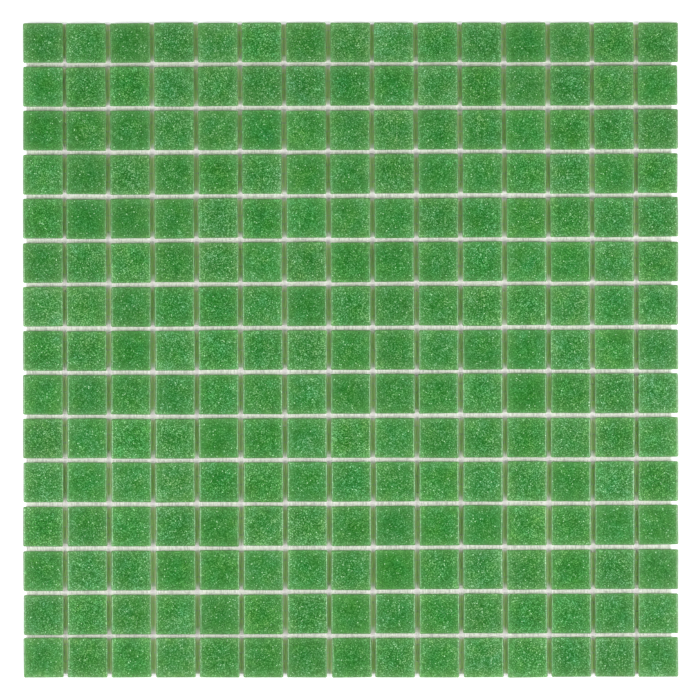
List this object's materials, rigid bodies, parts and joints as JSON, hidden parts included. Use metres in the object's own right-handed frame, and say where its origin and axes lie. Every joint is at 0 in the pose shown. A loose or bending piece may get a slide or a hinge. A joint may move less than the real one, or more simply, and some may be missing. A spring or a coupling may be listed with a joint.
{
  "type": "mosaic tile sheet",
  "caption": "Square sheet of small pressed glass mosaic tiles in straight rows, glued by their backs to a woven mesh so that they are laid together.",
  "frame": {"origin": "centre of the sheet, on the surface that the mesh backing lies on", "axes": "+X along a row of tiles, +Y from row to row towards the back, +Z out of the tile faces"},
  "size_m": [0.327, 0.327, 0.0044],
  "materials": {
    "tile_glass": "green vitreous glass, speckled with fine lighter and darker grains, satin pressed face",
    "mesh_yarn": "white coated glass yarn, open weave, matt"
  },
  "bodies": {
    "root": {"tile_row_01": "tile_glass", "tile_row_02": "tile_glass", "tile_row_03": "tile_glass", "tile_row_04": "tile_glass", "tile_row_05": "tile_glass", "tile_row_06": "tile_glass", "tile_row_07": "tile_glass", "tile_row_08": "tile_glass", "tile_row_09": "tile_glass", "tile_row_10": "tile_glass", "tile_row_11": "tile_glass", "tile_row_12": "tile_glass", "tile_row_13": "tile_glass", "tile_row_14": "tile_glass", "tile_row_15": "tile_glass", "mesh_weft_yarns": "mesh_yarn", "mesh_warp_yarns": "mesh_yarn"}
  },
  "joints": []
}
